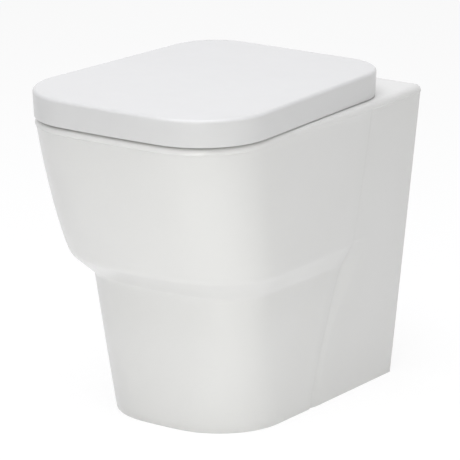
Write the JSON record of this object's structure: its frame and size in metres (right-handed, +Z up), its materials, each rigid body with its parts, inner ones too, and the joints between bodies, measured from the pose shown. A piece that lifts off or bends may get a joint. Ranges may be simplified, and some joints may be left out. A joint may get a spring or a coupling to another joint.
{
  "type": "back to wall toilet",
  "caption": "Floor-standing toilet pan that meets the wall, with a soft-close seat and a wrap-over lid on two top-fixed hinges.",
  "frame": {"origin": "on the floor, on the pan's middle plane, midway between the front of the lid and the wall", "axes": "+Z up, +X the right-hand side seen from the front, +Y towards the wall"},
  "size_m": [0.352, 0.483, 0.4585],
  "materials": {
    "china": "white vitreous china under a clear gloss glaze",
    "seat_plastic": "white moulded thermoset, polished to a high gloss",
    "hinge_steel": "stainless steel, satin",
    "pin_steel": "stainless steel, turned",
    "gasket_rubber": "grey rubber",
    "buffer_rubber": "soft white rubber",
    "nut_brass": "plain brass",
    "button_plastic": "light grey moulded plastic",
    "hinge_plastic": "natural nylon"
  },
  "bodies": {
    "pan": {"pan_shell": "china", "bowl": "china", "rim_channel": "china", "trapway": "china", "outlet_spigot": "china", "flush_inlet": "china", "fixing_lugs": "china", "hinge_gasket_left": "gasket_rubber", "hinge_gasket_right": "gasket_rubber", "hinge_plate_left": "hinge_steel", "hinge_plate_right": "hinge_steel", "hinge_post_left": "hinge_steel", "hinge_post_right": "hinge_steel", "hinge_pin_left": "pin_steel", "hinge_pin_right": "pin_steel", "fixing_stud_left": "pin_steel", "fixing_stud_right": "pin_steel", "expansion_sleeve_left": "gasket_rubber", "expansion_sleeve_right": "gasket_rubber", "expansion_nut_left": "nut_brass", "expansion_nut_right": "nut_brass"},
    "seat": {"seat_ring": "seat_plastic", "seat_buffers": "buffer_rubber", "seat_damper": "hinge_plastic", "seat_bush": "hinge_plastic"},
    "lid": {"lid": "seat_plastic", "lid_buffers": "buffer_rubber", "lid_damper": "hinge_plastic", "lid_bush": "hinge_plastic"},
    "button_left": {"release_button_left": "button_plastic"},
    "button_right": {"release_button_right": "button_plastic"}
  },
  "joints": [
    {"name": "seat_hinge", "type": "hinge", "parent": "pan", "child": "seat", "pos_m": [0, 0.174, 0.442], "axis": [-1, 0, 0], "range_deg": [0, 92]},
    {"name": "lid_hinge", "type": "hinge", "parent": "seat", "child": "lid", "pos_m": [0, 0.174, 0.442], "axis": [-1, 0, 0], "range_deg": [0, 92]},
    {"name": "release_left", "type": "slide", "parent": "pan", "child": "button_left", "axis": [0, -1, 0], "range_m": [0, 0.002], "stiffness_N_per_m": 300, "springref_m": -0.001},
    {"name": "release_right", "type": "slide", "parent": "pan", "child": "button_right", "axis": [0, -1, 0], "range_m": [0, 0.002], "stiffness_N_per_m": 300, "springref_m": -0.001}
  ]
}
